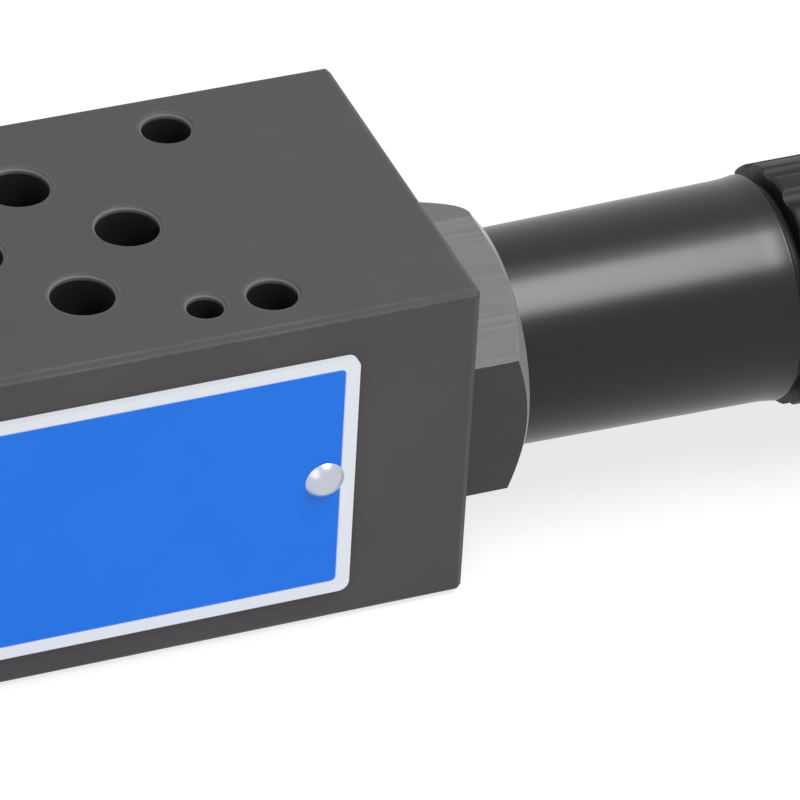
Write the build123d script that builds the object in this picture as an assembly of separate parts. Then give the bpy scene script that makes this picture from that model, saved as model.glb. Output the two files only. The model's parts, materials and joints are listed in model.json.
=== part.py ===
from build123d import *
import os
from math import atan2, cos, degrees, hypot, radians, sin, sqrt, tan

# Sandwich throttle valve, in millimetres. The origin is the middle of the port pattern on the
# lower mounting face. +X runs out to the knob, +Z is up and the name plate faces -Y.
# Everything is drawn closed: the throttle's needle fills its seat.

# Ported block
block_length = 83.0
block_width = 45.0
block_height = 40.0
block_chamfer = 0.6
hole_chamfer = 0.35

# Interface of the block: size 03 port pattern, measured from the middle of the pattern
screw_span_x = 40.5
screw_span_left = 31.0
screw_span_right = 32.5
screw_hole_radius = 2.75
port_radius = 3.5
port_p_and_t_x = 1.25
port_p_and_t_y = 10.4
port_a_x = -7.55
port_b_x = 9.95
pin_hole_x = 12.75
pin_hole_y = -16.25
pin_hole_radius = 2.0
pin_hole_depth = 5.0
port_seal_recess_radius = 6.4
port_seal_recess_depth = 1.35
port_seal_width = 1.85

# Inner passages of the throttled port
lower_drilling_rise = 3.0
upper_drilling_depth = 6.0
slant_drilling_radius = 2.5
slant_drilling_aim_y = 1.1
slant_drilling_overrun = 2.0
drill_point_angle = 118.0

# Adjuster axis, moved from the middle of the block towards the name plate
adjuster_offset = 5.3

# Clearances
running_clearance = 0.04
fitted_clearance = 0.02
thread_clearance = 0.05
seal_running_clearance = 0.08

# Throttle seat bush
chamber_radius = 4.5
chamber_reach = 4.0
bush_radius = 6.5
bush_setback = 0.5
bush_length = 11.1
bush_step_gap = 0.1
seat_radius = 3.0
seat_land = 1.8
bush_land = 2.0
annulus_length = 6.0
annulus_radius = 5.2
feed_hole_radius = 1.3
feed_hole_count = 4

# Throttle spool
spool_radius = 4.0
spool_stroke = 4.0
needle_reach = 2.0
needle_point_chamfer = 0.4
needle_notch_depth = 1.6
needle_notch_lap = 0.2
needle_notch_side = 4.0
needle_notch_count = 3
waist_radius = 2.2
waist_setback = 0.3
land_setback = 0.5
land_recess = 0.6
neck_radius = 1.8
head_radius = 3.2
head_thickness = 2.0
head_play = 0.1

# Cartridge body
nose_radius = 9.0
nose_length = 5.2
nose_groove_start = 0.8
nose_groove_length = 3.2
nose_groove_radius = 7.5
nose_backup_thickness = 1.2
cartridge_thread_radius = 11.0
cartridge_thread_chamfer = 1.0
guide_length = 9.4
rod_groove_start = 3.2
rod_groove_length = 3.2
rod_groove_radius = 5.5
rod_backup_thickness = 1.2
hex_across_flats = 30.0
hex_length = 7.8
hex_chamfer_diameter = 28.5
hex_chamfer_angle = 35.0
hex_clocking = 1.6
boss_radius = 9.0
boss_length = 8.0
boss_chamfer = 0.8
flange_seal_radius = 13.0
flange_seal_depth = 2.0

# Adjusting screw
screw_thread_radius = 6.0
screw_end_gap = 0.2
screw_thread_length = 9.4
screw_thread_chamfer = 0.5
slot_lip = 2.0
slot_side_gap = 0.2
shank_radius = 4.8
drive_radius = 4.1
drive_flat = 3.4
drive_short = 0.2

# Stop ring
stop_gap = 0.1
stop_ring_thickness = 0.9
stop_groove_depth = 0.65
stop_ring_inner_radius = 5.3
stop_ring_opening = 50.0
stop_ring_hole_radius = 0.35
stop_ring_hole_inset = 12.0

# Barrel between the hexagon and the knob
barrel_length = 32.9
barrel_root_radius = 12.0
barrel_end_radius = 12.5
barrel_bore_radius = 10.4
barrel_lip_radius = 12.75
barrel_lip_length = 2.0
barrel_relief = 0.2

# Knob
knob_gap = 0.3
knob_spigot_length = 1.2
knob_spigot_radius = 12.2
knob_radius = 13.6
knob_length = 22.7
knob_edge = 0.5
knob_rib_count = 16
knob_groove_radius = 1.5
knob_groove_depth = 0.75
knob_end_band = 2.6
hub_depth = 10.2
hub_clearance = 0.3
hub_groove_start = 2.0
hub_groove_length = 1.8
hub_groove_radius = 8.9
hub_bore_clearance = 0.4

# Knob fastening
insert_inset = 7.3
insert_length = 16.0
insert_radius = 7.0
insert_groove_radius = 6.3
insert_groove_length = 4.0
washer_radius = 6.4
washer_thickness = 1.2
washer_clearance = 0.15
knob_screw_radius = 2.0
knob_screw_length = 12.0
knob_screw_head_radius = 3.5
knob_screw_head_length = 4.0
knob_screw_socket = 3.0
knob_screw_socket_depth = 2.0
knob_screw_hole_spare = 1.4
knob_pocket_radius = 7.1
cap_radius = 9.0
cap_thickness = 2.0
cap_sink = 0.4
cap_clearance = 0.1
cap_spigot_length = 2.0
cap_spigot_wall = 1.2
cap_edge = 0.4

# Name plate on the front face
plate_length = 55.5
plate_height = 30.7
plate_base = 4.2
plate_thickness = 0.8
plate_corner = 1.2
rivet_inset = 3.4
rivet_head_radius = 2.2
rivet_head_height = 1.1
rivet_shank_radius = 1.25
rivet_shank_length = 4.5
rivet_hole_spare = 0.5

# Places that follow from the sizes above
block_right = block_length / 2
axis_y = -adjuster_offset
axis_z = block_height / 2
bush_start = port_b_x + port_radius + bush_setback
bush_end = bush_start + bush_length
seat_end = bush_start + seat_land
annulus_start = bush_start + bush_land
annulus_middle = annulus_start + annulus_length / 2
guide_radius = spool_radius + running_clearance
nose_end = bush_end + nose_length
guide_end = bush_end + guide_length
hex_end = block_right + hex_length
boss_end = hex_end + boss_length
screw_start = guide_end + screw_end_gap
screw_shoulder = screw_start + screw_thread_length
stop_ring_start = screw_shoulder + spool_stroke + stop_gap
stop_groove_radius = screw_thread_radius + stop_groove_depth
head_start = screw_start + slot_lip + head_play
barrel_end = hex_end + barrel_length
knob_front = barrel_end + knob_gap + knob_spigot_length
knob_end = knob_front + knob_length
hub_start = barrel_end - hub_depth
hub_radius = barrel_bore_radius - hub_clearance
insert_start = knob_front - insert_inset
insert_end = insert_start + insert_length
washer_end = insert_end + washer_thickness
cap_seat = knob_end - cap_sink - cap_thickness
front_face = -block_width / 2
plate_middle_z = plate_base + plate_height / 2


def turned(*outline):
    """Solid of revolution about the adjuster axis, from (x, radius) points."""
    profile = make_face(Polyline(*outline, close=True))
    return Pos(0, axis_y, axis_z) * revolve(profile, Axis.X)


def round_bar(start, end, radius):
    """Plain cylinder on the adjuster axis between two places along X."""
    return turned((start, 0), (end, 0), (end, radius), (start, radius))


def upright(x, y, bottom, top, radius):
    """Vertical cylinder between two heights."""
    return Pos(x, y, (bottom + top) / 2) * Cylinder(radius, top - bottom)


def drill_point(radius):
    """Length of the cone that a drill leaves at the end of a blind hole."""
    return radius / tan(radians(drill_point_angle / 2))


def blind_drilling(x, y, mouth, bottom, radius):
    """Blind vertical hole from its mouth to its full depth, with the drill's cone beyond."""
    cone_height = drill_point(radius)
    hole = upright(x, y, min(mouth, bottom), max(mouth, bottom), radius)
    cone = Cone(radius, 0, cone_height, align=(Align.CENTER, Align.CENTER, Align.MIN))
    upside_down = 180 if bottom < mouth else 0
    return hole + Pos(x, y, bottom) * Rot(upside_down, 0, 0) * cone


def mouth_chamfer(x, y, height, radius, upside_down):
    """Cone that breaks the edge of a vertical hole at a face of the block."""
    cone = Cone(
        radius,
        radius + 2 * hole_chamfer,
        2 * hole_chamfer,
        align=(Align.CENTER, Align.CENTER, Align.CENTER),
    )
    return Pos(x, y, height) * Rot(180 if upside_down else 0, 0, 0) * cone


def hexagon(across_flats, start, end, clocking=0):
    """Hexagonal bar on the adjuster axis, turned so far from having a corner straight up."""
    outline = RegularPolygon(across_flats / 2, 6, major_radius=False, rotation=0)
    bar = extrude(outline, end - start)
    return Pos(start, axis_y, axis_z) * Rot(clocking, 0, 0) * Rot(0, 90, 0) * bar


def squeezed_seal(start, end, inner_radius, outer_radius):
    """O-ring as it lies in its groove: flat on both walls, with bulged free sides."""
    middle = (inner_radius + outer_radius) / 2
    bulge = (end - start) / 4
    return turned(
        (start, middle),
        (start + bulge, outer_radius),
        (end - bulge, outer_radius),
        (end, middle),
        (end - bulge, inner_radius),
        (start + bulge, inner_radius),
    )


def flat_ring(start, end, inner_radius, outer_radius):
    """Ring of rectangular section on the adjuster axis."""
    return turned(
        (start, inner_radius), (end, inner_radius), (end, outer_radius), (start, outer_radius)
    )


def screw_places():
    """The four clamping screws of the interface."""
    left = -screw_span_x / 2
    right = screw_span_x / 2
    return [
        (left, -screw_span_left / 2),
        (left, screw_span_left / 2),
        (right, -screw_span_right / 2),
        (right, screw_span_right / 2),
    ]


def port_places():
    """The four oil ports by their usual letters."""
    return {
        "p": (port_p_and_t_x, -port_p_and_t_y),
        "a": (port_a_x, 0),
        "b": (port_b_x, 0),
        "t": (port_p_and_t_x, port_p_and_t_y),
    }


def slant_drilling():
    """Inclined hole from the upper mouth of port B down to the ring space round the bush."""
    mouth = Vector(port_b_x, 0, block_height)
    aim = Vector(annulus_middle, axis_y + slant_drilling_aim_y, axis_z + bush_radius)
    way = aim - mouth
    hole = Cylinder(
        slant_drilling_radius,
        way.length + slant_drilling_overrun,
        align=(Align.CENTER, Align.CENTER, Align.MIN),
    )
    return Plane(origin=mouth, z_dir=way) * hole


def cartridge_cavity():
    """Stepped bore of the block for the seat bush and the cartridge body."""
    chamber_end = port_b_x - chamber_reach
    return turned(
        (chamber_end - drill_point(chamber_radius), 0),
        (chamber_end, chamber_radius),
        (bush_start, chamber_radius),
        (bush_start, bush_radius),
        (bush_end - bush_step_gap, bush_radius),
        (bush_end - bush_step_gap, nose_radius),
        (nose_end, nose_radius),
        (nose_end, cartridge_thread_radius + thread_clearance),
        (block_right - flange_seal_depth, cartridge_thread_radius + thread_clearance),
        (block_right - flange_seal_depth, flange_seal_radius),
        (block_right, flange_seal_radius),
        (block_right, 0),
    )


def valve_body():
    """Ported iron block with its interface holes and the cartridge cavity."""
    block = Pos(0, 0, block_height / 2) * Box(block_length, block_width, block_height)
    block = chamfer(block.edges(), block_chamfer)
    cuts = [cartridge_cavity(), slant_drilling()]
    for x, y in screw_places():
        cuts.append(upright(x, y, 0, block_height, screw_hole_radius))
        cuts.append(mouth_chamfer(x, y, block_height, screw_hole_radius, False))
        cuts.append(mouth_chamfer(x, y, 0, screw_hole_radius, True))
    for letter, (x, y) in port_places().items():
        if letter == "b":
            lower_end = axis_z + lower_drilling_rise
            upper_end = block_height - upper_drilling_depth
            cuts.append(blind_drilling(x, y, 0, lower_end, port_radius))
            cuts.append(blind_drilling(x, y, block_height, upper_end, port_radius))
        else:
            cuts.append(upright(x, y, 0, block_height, port_radius))
        cuts.append(mouth_chamfer(x, y, block_height, port_radius, False))
        cuts.append(upright(x, y, 0, port_seal_recess_depth, port_seal_recess_radius))
    for mouth, bottom, upside_down in (
        (block_height, block_height - pin_hole_depth, False),
        (0, pin_hole_depth, True),
    ):
        cuts.append(blind_drilling(pin_hole_x, pin_hole_y, mouth, bottom, pin_hole_radius))
        cuts.append(mouth_chamfer(pin_hole_x, pin_hole_y, mouth, pin_hole_radius, upside_down))
    for side in (-1, 1):
        cuts.append(rivet_hole(side))
    return block - cuts


def port_seal(x, y):
    """O-ring of one port, squeezed flush with the mounting face."""
    outer = port_seal_recess_radius - fitted_clearance
    inner = outer - port_seal_width
    low = fitted_clearance
    high = port_seal_recess_depth - fitted_clearance
    middle = (low + high) / 2
    bulge = port_seal_width / 4
    section = Polyline(
        (inner, middle),
        (inner + bulge, low),
        (outer - bulge, low),
        (outer, middle),
        (outer - bulge, high),
        (inner + bulge, high),
        close=True,
    )
    ring = revolve(Plane.XZ * make_face(section), Axis.Z)
    return Pos(x, y, 0) * ring


def rivet_place(side):
    """Middle of a rivet on the front face, on the left (-1) or the right (1)."""
    return side * (plate_length / 2 - rivet_inset), plate_middle_z


def rivet_hole(side):
    """Blind hole in the block for a drive rivet."""
    x, z = rivet_place(side)
    depth = rivet_shank_length - plate_thickness + rivet_hole_spare
    hole = Cylinder(rivet_shank_radius + fitted_clearance, 2 * depth)
    return Pos(x, front_face, z) * Rot(90, 0, 0) * hole


def name_plate():
    """Thin sheet plate with rounded corners and two rivet holes."""
    outline = RectangleRounded(plate_length, plate_height, plate_corner)
    for side in (-1, 1):
        x, z = rivet_place(side)
        outline -= Pos(x, z - plate_middle_z) * Circle(rivet_shank_radius + fitted_clearance)
    sheet = extrude(outline, plate_thickness)
    return Pos(0, front_face, plate_middle_z) * Rot(90, 0, 0) * sheet


def plate_rivet(side):
    """Drive rivet with a domed head."""
    x, z = rivet_place(side)
    dome_radius = (rivet_head_radius**2 + rivet_head_height**2) / (2 * rivet_head_height)
    shoulder = rivet_head_radius * cos(radians(45))
    shoulder_height = sqrt(dome_radius**2 - shoulder**2) - (dome_radius - rivet_head_height)
    dome = ThreePointArc(
        (rivet_head_radius, 0), (shoulder, shoulder_height), (0, rivet_head_height)
    )
    sides = Polyline(
        (0, rivet_head_height),
        (0, -rivet_shank_length),
        (rivet_shank_radius, -rivet_shank_length),
        (rivet_shank_radius, 0),
        (rivet_head_radius, 0),
    )
    rivet = revolve(Plane.XZ * make_face(dome + sides), Axis.Z)
    return Pos(x, front_face - plate_thickness, z) * Rot(90, 0, 0) * rivet


def seat_bush():
    """Hardened bush: seat edge at its inner end, ring space and feed holes round the needle."""
    bush = turned(
        (bush_start, seat_radius),
        (seat_end, seat_radius),
        (seat_end, guide_radius),
        (bush_end, guide_radius),
        (bush_end, bush_radius - fitted_clearance),
        (annulus_start + annulus_length, bush_radius - fitted_clearance),
        (annulus_start + annulus_length, annulus_radius),
        (annulus_start, annulus_radius),
        (annulus_start, bush_radius - fitted_clearance),
        (bush_start, bush_radius - fitted_clearance),
    )
    hole = Cylinder(feed_hole_radius, bush_radius, align=(Align.CENTER, Align.CENTER, Align.MIN))
    for index in range(feed_hole_count):
        turn = (index + 0.5) * 360 / feed_hole_count
        bush -= Pos(annulus_middle, axis_y, axis_z) * Rot(turn, 0, 0) * hole
    return bush


def needle_notch(index):
    """Bar that mills one sloping V notch into the needle, deepest at its point."""
    notch_end = seat_end - needle_notch_lap
    needle_start = bush_start - needle_reach
    needle_radius = seat_radius - running_clearance
    run = notch_end - needle_start
    slope = degrees(atan2(needle_notch_depth, run))
    bar_length = 2 * hypot(run, needle_notch_depth)
    bar = Rot(45, 0, 0) * Box(bar_length, needle_notch_side, needle_notch_side)
    bar = Pos(-bar_length / 2, 0, needle_notch_side / sqrt(2)) * bar
    bar = Pos(notch_end, 0, needle_radius) * Rot(0, -slope, 0) * bar
    return Pos(0, axis_y, axis_z) * Rot(index * 360 / needle_notch_count, 0, 0) * bar


def throttle_spool():
    """Sliding spool: notched needle, waist, guided land, and the head held by the screw."""
    needle_start = bush_start - needle_reach
    needle_radius = seat_radius - running_clearance
    land_start = annulus_middle + feed_hole_radius + land_setback
    land_end = guide_end - land_recess
    head_end = head_start + head_thickness
    spool = turned(
        (needle_start, 0),
        (needle_start, needle_radius - needle_point_chamfer),
        (needle_start + needle_point_chamfer, needle_radius),
        (seat_end + waist_setback, needle_radius),
        (seat_end + waist_setback, waist_radius),
        (land_start, waist_radius),
        (land_start, spool_radius),
        (land_end, spool_radius),
        (land_end, neck_radius),
        (head_start, neck_radius),
        (head_start, head_radius),
        (head_end, head_radius),
        (head_end, 0),
    )
    return spool - [needle_notch(index) for index in range(needle_notch_count)]


def cartridge_body():
    """Screwed-in body: sealed nose, thread, outside hexagon and the boss that holds the barrel."""
    nose = nose_radius - thread_clearance
    groove_start = bush_end + nose_groove_start
    groove_end = groove_start + nose_groove_length
    rod_start = bush_end + rod_groove_start
    rod_end = rod_start + rod_groove_length
    screw_bore = screw_thread_radius + thread_clearance
    ring_end = stop_ring_start + stop_ring_thickness
    body = turned(
        (bush_end, guide_radius),
        (rod_start, guide_radius),
        (rod_start, rod_groove_radius),
        (rod_end, rod_groove_radius),
        (rod_end, guide_radius),
        (guide_end, guide_radius),
        (guide_end, screw_bore),
        (stop_ring_start - fitted_clearance, screw_bore),
        (stop_ring_start - fitted_clearance, stop_groove_radius),
        (ring_end + fitted_clearance, stop_groove_radius),
        (ring_end + fitted_clearance, screw_bore),
        (boss_end, screw_bore),
        (boss_end, boss_radius - boss_chamfer),
        (boss_end - boss_chamfer, boss_radius),
        (hex_end, boss_radius),
        (block_right, boss_radius),
        (block_right, cartridge_thread_radius),
        (nose_end + cartridge_thread_chamfer + thread_clearance, cartridge_thread_radius),
        (nose_end + thread_clearance, cartridge_thread_radius - cartridge_thread_chamfer),
        (nose_end + thread_clearance, nose),
        (groove_end, nose),
        (groove_end, nose_groove_radius),
        (groove_start, nose_groove_radius),
        (groove_start, nose),
        (bush_end, nose),
    )
    return body + hexagon_flange()


def hexagon_flange():
    """Outside hexagon with the turned chamfer on its outer end."""
    rise = tan(radians(hex_chamfer_angle))
    face_radius = hex_chamfer_diameter / 2
    corner_radius = hex_across_flats / sqrt(3) + 1
    bore = boss_radius - boss_chamfer
    flange = hexagon(hex_across_flats, block_right, hex_end, hex_clocking)
    blank = turned(
        (block_right, bore),
        (block_right, corner_radius),
        (hex_end - (corner_radius - face_radius) * rise, corner_radius),
        (hex_end, face_radius),
        (hex_end, bore),
    )
    return flange & blank


def nose_seal():
    """O-ring between the cartridge nose and the block."""
    start = bush_end + nose_groove_start
    end = start + nose_groove_length - nose_backup_thickness
    return squeezed_seal(
        start + fitted_clearance,
        end - fitted_clearance,
        nose_groove_radius + fitted_clearance,
        nose_radius - fitted_clearance,
    )


def nose_backup_ring():
    """Flat ring that supports the nose seal on its outer side."""
    end = bush_end + nose_groove_start + nose_groove_length
    return flat_ring(
        end - nose_backup_thickness,
        end - fitted_clearance,
        nose_groove_radius + fitted_clearance,
        nose_radius - fitted_clearance,
    )


def flange_seal():
    """O-ring under the hexagon, in the block's counterbore."""
    return squeezed_seal(
        block_right - flange_seal_depth + fitted_clearance,
        block_right - fitted_clearance,
        cartridge_thread_radius + fitted_clearance,
        flange_seal_radius - fitted_clearance,
    )


def spool_seal():
    """O-ring on the spool, in the cartridge body's inner groove."""
    start = bush_end + rod_groove_start
    end = start + rod_groove_length - rod_backup_thickness
    return squeezed_seal(
        start + fitted_clearance,
        end - fitted_clearance,
        spool_radius + seal_running_clearance,
        rod_groove_radius - fitted_clearance,
    )


def spool_backup_ring():
    """Flat ring that supports the spool's seal on its outer side."""
    end = bush_end + rod_groove_start + rod_groove_length
    return flat_ring(
        end - rod_backup_thickness,
        end - fitted_clearance,
        spool_radius + seal_running_clearance,
        rod_groove_radius - fitted_clearance,
    )


def slot_cutter(start, end, half_width):
    """Straight slot across the screw, open at both sides."""
    slot = Box(end - start, 2 * half_width, 3 * screw_thread_radius)
    return Pos((start + end) / 2, axis_y, axis_z) * slot


def adjusting_screw():
    """Spindle: T slot for the spool's head, thread, shank, and the flatted end for the knob."""
    lip_end = screw_start + slot_lip
    pocket_end = head_start + head_thickness + head_play
    drive_end = insert_end - drive_short
    screw = turned(
        (screw_start, 0),
        (screw_start, screw_thread_radius - screw_thread_chamfer),
        (screw_start + screw_thread_chamfer, screw_thread_radius),
        (screw_shoulder - screw_thread_chamfer, screw_thread_radius),
        (screw_shoulder, screw_thread_radius - screw_thread_chamfer),
        (screw_shoulder, shank_radius),
        (insert_start, shank_radius),
        (insert_start, drive_radius),
        (drive_end, drive_radius),
        (drive_end, 0),
    )
    screw -= slot_cutter(screw_start, lip_end, neck_radius + slot_side_gap)
    screw -= slot_cutter(lip_end, pocket_end, head_radius + slot_side_gap)
    screw -= drive_flat_cutter(insert_start, drive_end, drive_flat)
    hole_end = washer_end - knob_screw_length - knob_screw_hole_spare
    return screw - round_bar(hole_end, drive_end, knob_screw_radius + thread_clearance)


def drive_flat_cutter(start, end, flat_distance):
    """Block above the flat of the D-shaped drive."""
    height = drive_radius
    cutter = Box(
        end - start,
        3 * drive_radius,
        height,
        align=(Align.MIN, Align.CENTER, Align.MIN),
    )
    return Pos(start, axis_y, axis_z + flat_distance) * cutter


def stop_ring():
    """Internal retaining ring with its opening at the top and two plier holes."""
    ring = flat_ring(
        stop_ring_start,
        stop_ring_start + stop_ring_thickness,
        stop_ring_inner_radius,
        stop_groove_radius - fitted_clearance,
    )
    half_opening = radians(stop_ring_opening / 2)
    reach = 2 * stop_groove_radius
    wedge = Polyline(
        (0, 0),
        (reach * sin(half_opening), reach * cos(half_opening)),
        (-reach * sin(half_opening), reach * cos(half_opening)),
        close=True,
    )
    gap = extrude(Plane.YZ * make_face(wedge), stop_ring_thickness)
    ring -= Pos(stop_ring_start, axis_y, axis_z) * gap
    band_middle = (stop_ring_inner_radius + stop_groove_radius) / 2
    hole = Rot(0, 90, 0) * Cylinder(stop_ring_hole_radius, 2 * stop_ring_thickness)
    for side in (-1, 1):
        turn = radians(side * (stop_ring_opening / 2 + stop_ring_hole_inset))
        y = axis_y + band_middle * sin(turn)
        z = axis_z + band_middle * cos(turn)
        ring -= Pos(stop_ring_start, y, z) * hole
    return ring


def bonnet_sleeve():
    """Slightly tapered barrel, screwed on the cartridge's boss, with a flared lip."""
    thread_end = boss_end + barrel_relief
    lip_start = barrel_end - barrel_lip_length
    taper = (barrel_end_radius - barrel_root_radius) / barrel_length
    lip_root_radius = barrel_root_radius + taper * (lip_start - hex_end)
    return turned(
        (hex_end, boss_radius + thread_clearance),
        (thread_end, boss_radius + thread_clearance),
        (thread_end, barrel_bore_radius),
        (barrel_end, barrel_bore_radius),
        (barrel_end, barrel_lip_radius),
        (lip_start, lip_root_radius),
        (hex_end, barrel_root_radius),
    )


def knob_groove(index):
    """Round-bottomed groove between two ribs of the knob, open towards the barrel."""
    middle_radius = knob_radius - knob_groove_depth + knob_groove_radius
    start = knob_front - knob_edge
    length = knob_length + knob_edge - knob_end_band
    cutter = Cylinder(
        knob_groove_radius, length, align=(Align.CENTER, Align.CENTER, Align.MIN)
    )
    cutter = Pos(start, 0, middle_radius) * Rot(0, 90, 0) * cutter
    return Pos(0, axis_y, axis_z) * Rot((index + 0.5) * 360 / knob_rib_count, 0, 0) * cutter


def control_knob():
    """Moulded knob: ribbed grip, spigot at the barrel and the hub that slides inside it."""
    groove_start = hub_start + hub_groove_start
    groove_end = groove_start + hub_groove_length
    insert_bore = insert_radius + fitted_clearance
    insert_waist = insert_groove_radius + fitted_clearance
    waist_start = (insert_start + insert_end - insert_groove_length) / 2 + fitted_clearance
    waist_end = (insert_start + insert_end + insert_groove_length) / 2 - fitted_clearance
    shank_bore = shank_radius + hub_bore_clearance
    knob = turned(
        (hub_start, shank_bore),
        (insert_start - fitted_clearance, shank_bore),
        (insert_start - fitted_clearance, insert_bore),
        (waist_start, insert_bore),
        (waist_start, insert_waist),
        (waist_end, insert_waist),
        (waist_end, insert_bore),
        (insert_end, insert_bore),
        (insert_end, knob_pocket_radius),
        (cap_seat, knob_pocket_radius),
        (cap_seat, cap_radius),
        (knob_end, cap_radius),
        (knob_end, knob_radius - knob_edge),
        (knob_end - knob_edge, knob_radius),
        (knob_front + knob_edge, knob_radius),
        (knob_front, knob_radius - knob_edge),
        (knob_front, knob_spigot_radius),
        (knob_front - knob_spigot_length, knob_spigot_radius),
        (knob_front - knob_spigot_length, hub_radius),
        (groove_end, hub_radius),
        (groove_end, hub_groove_radius),
        (groove_start, hub_groove_radius),
        (groove_start, hub_radius),
        (hub_start, hub_radius),
    )
    return knob - [knob_groove(index) for index in range(knob_rib_count)]


def hub_ring():
    """Drag ring in the knob's hub, running in the barrel."""
    start = hub_start + hub_groove_start
    return squeezed_seal(
        start + fitted_clearance,
        start + hub_groove_length - fitted_clearance,
        hub_groove_radius + fitted_clearance,
        barrel_bore_radius - seal_running_clearance,
    )


def knob_insert():
    """Moulded-in bush with a D bore and a waist that keys it in the knob."""
    waist_start = (insert_start + insert_end - insert_groove_length) / 2
    waist_end = waist_start + insert_groove_length
    insert = turned(
        (insert_start, 0),
        (insert_end, 0),
        (insert_end, insert_radius),
        (waist_end, insert_radius),
        (waist_end, insert_groove_radius),
        (waist_start, insert_groove_radius),
        (waist_start, insert_radius),
        (insert_start, insert_radius),
    )
    bore = round_bar(insert_start, insert_end, drive_radius + fitted_clearance)
    bore -= drive_flat_cutter(insert_start, insert_end, drive_flat + fitted_clearance)
    return insert - bore


def knob_washer():
    """Plain washer under the knob screw's head."""
    return flat_ring(
        insert_end, washer_end, knob_screw_radius + washer_clearance, washer_radius
    )


def knob_screw():
    """Socket head screw that clamps the knob on the spindle."""
    head_end = washer_end + knob_screw_head_length
    screw = turned(
        (washer_end - knob_screw_length, 0),
        (washer_end - knob_screw_length, knob_screw_radius),
        (washer_end, knob_screw_radius),
        (washer_end, knob_screw_head_radius),
        (head_end, knob_screw_head_radius),
        (head_end, 0),
    )
    return screw - hexagon(knob_screw_socket, head_end - knob_screw_socket_depth, head_end)


def knob_cap():
    """Plain cap with a rounded edge and a hollow spigot, pressed into the knob's end."""
    end = cap_seat + cap_thickness
    outer = cap_radius - cap_clearance
    spigot = knob_pocket_radius - cap_clearance
    return turned(
        (cap_seat, 0),
        (end, 0),
        (end, outer - cap_edge),
        (end - cap_edge, outer),
        (cap_seat, outer),
        (cap_seat, spigot),
        (cap_seat - cap_spigot_length, spigot),
        (cap_seat - cap_spigot_length, spigot - cap_spigot_wall),
        (cap_seat, spigot - cap_spigot_wall),
    )


def build():
    """All pieces by their node names."""
    pieces = {
        "valve_body": valve_body(),
        "name_plate": name_plate(),
        "plate_rivet_right": plate_rivet(1),
        "plate_rivet_left": plate_rivet(-1),
        "seat_bush": seat_bush(),
        "throttle_spool": throttle_spool(),
        "spool_seal": spool_seal(),
        "spool_backup_ring": spool_backup_ring(),
        "cartridge_body": cartridge_body(),
        "nose_seal": nose_seal(),
        "nose_backup_ring": nose_backup_ring(),
        "flange_seal": flange_seal(),
        "adjusting_screw": adjusting_screw(),
        "stop_ring": stop_ring(),
        "bonnet_sleeve": bonnet_sleeve(),
        "control_knob": control_knob(),
        "hub_ring": hub_ring(),
        "knob_insert": knob_insert(),
        "knob_washer": knob_washer(),
        "knob_screw": knob_screw(),
        "knob_cap": knob_cap(),
    }
    for letter, (x, y) in port_places().items():
        pieces["port_seal_" + letter] = port_seal(x, y)
    return pieces


os.makedirs("parts", exist_ok=True)
for node, shape in build().items():
    export_step(shape, "parts/" + node + ".step")
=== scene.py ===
"""Looks of a sandwich throttle valve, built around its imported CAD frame.

Lengths are in metres and the frame is the CAD's own: +X runs out to the knob, +Z is up and
the name plate faces -Y. Sizes that the frame can tell are read from it.
"""

import json
import logging
import math
from dataclasses import dataclass
from enum import Enum
from typing import Any, Callable, Sequence

import bmesh
import bpy
from mathutils import Matrix, Vector

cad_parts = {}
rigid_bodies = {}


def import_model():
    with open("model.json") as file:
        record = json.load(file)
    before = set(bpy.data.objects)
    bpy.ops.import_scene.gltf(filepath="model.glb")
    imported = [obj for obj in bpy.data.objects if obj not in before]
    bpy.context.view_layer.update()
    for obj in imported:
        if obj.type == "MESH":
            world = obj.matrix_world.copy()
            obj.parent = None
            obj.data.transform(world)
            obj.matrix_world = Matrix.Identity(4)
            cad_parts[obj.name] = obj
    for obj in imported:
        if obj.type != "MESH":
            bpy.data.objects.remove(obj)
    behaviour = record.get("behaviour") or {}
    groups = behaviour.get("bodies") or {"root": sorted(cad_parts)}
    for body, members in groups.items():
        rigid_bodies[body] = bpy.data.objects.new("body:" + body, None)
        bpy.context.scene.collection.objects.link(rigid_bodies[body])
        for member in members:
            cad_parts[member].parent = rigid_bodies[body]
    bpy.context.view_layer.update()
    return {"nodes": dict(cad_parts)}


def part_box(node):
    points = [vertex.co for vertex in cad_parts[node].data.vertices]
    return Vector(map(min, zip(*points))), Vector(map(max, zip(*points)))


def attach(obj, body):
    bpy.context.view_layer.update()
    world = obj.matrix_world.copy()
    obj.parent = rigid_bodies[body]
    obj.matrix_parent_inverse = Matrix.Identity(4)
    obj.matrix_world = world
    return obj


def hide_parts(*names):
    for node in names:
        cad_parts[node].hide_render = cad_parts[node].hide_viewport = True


LOG = logging.getLogger("throttle_valve")
MM = 0.001
WELD = 0.0001 * MM
IMAGE_SIDE_PX = 800

Ring = list[Vector]
Outline = list[tuple[float, float]]


# Small tools


def linear(colour: str, alpha: float = 1.0) -> tuple[float, float, float, float]:
    """Turns an sRGB hex colour into Blender's linear one.

    Args:
        colour: Six hex digits, such as "2D78E0".
        alpha: Opacity that goes with it.

    Returns:
        Linear red, green, blue and alpha.
    """
    parts = []
    for start in (0, 2, 4):
        value = int(colour[start : start + 2], 16) / 255
        parts.append(value / 12.92 if value <= 0.04045 else ((value + 0.055) / 1.055) ** 2.4)
    return parts[0], parts[1], parts[2], alpha


def per_feature(size_mm: float) -> float:
    """Gives the scale that makes a noise pattern's features about this size."""
    return 1 / (size_mm * MM)


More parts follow.
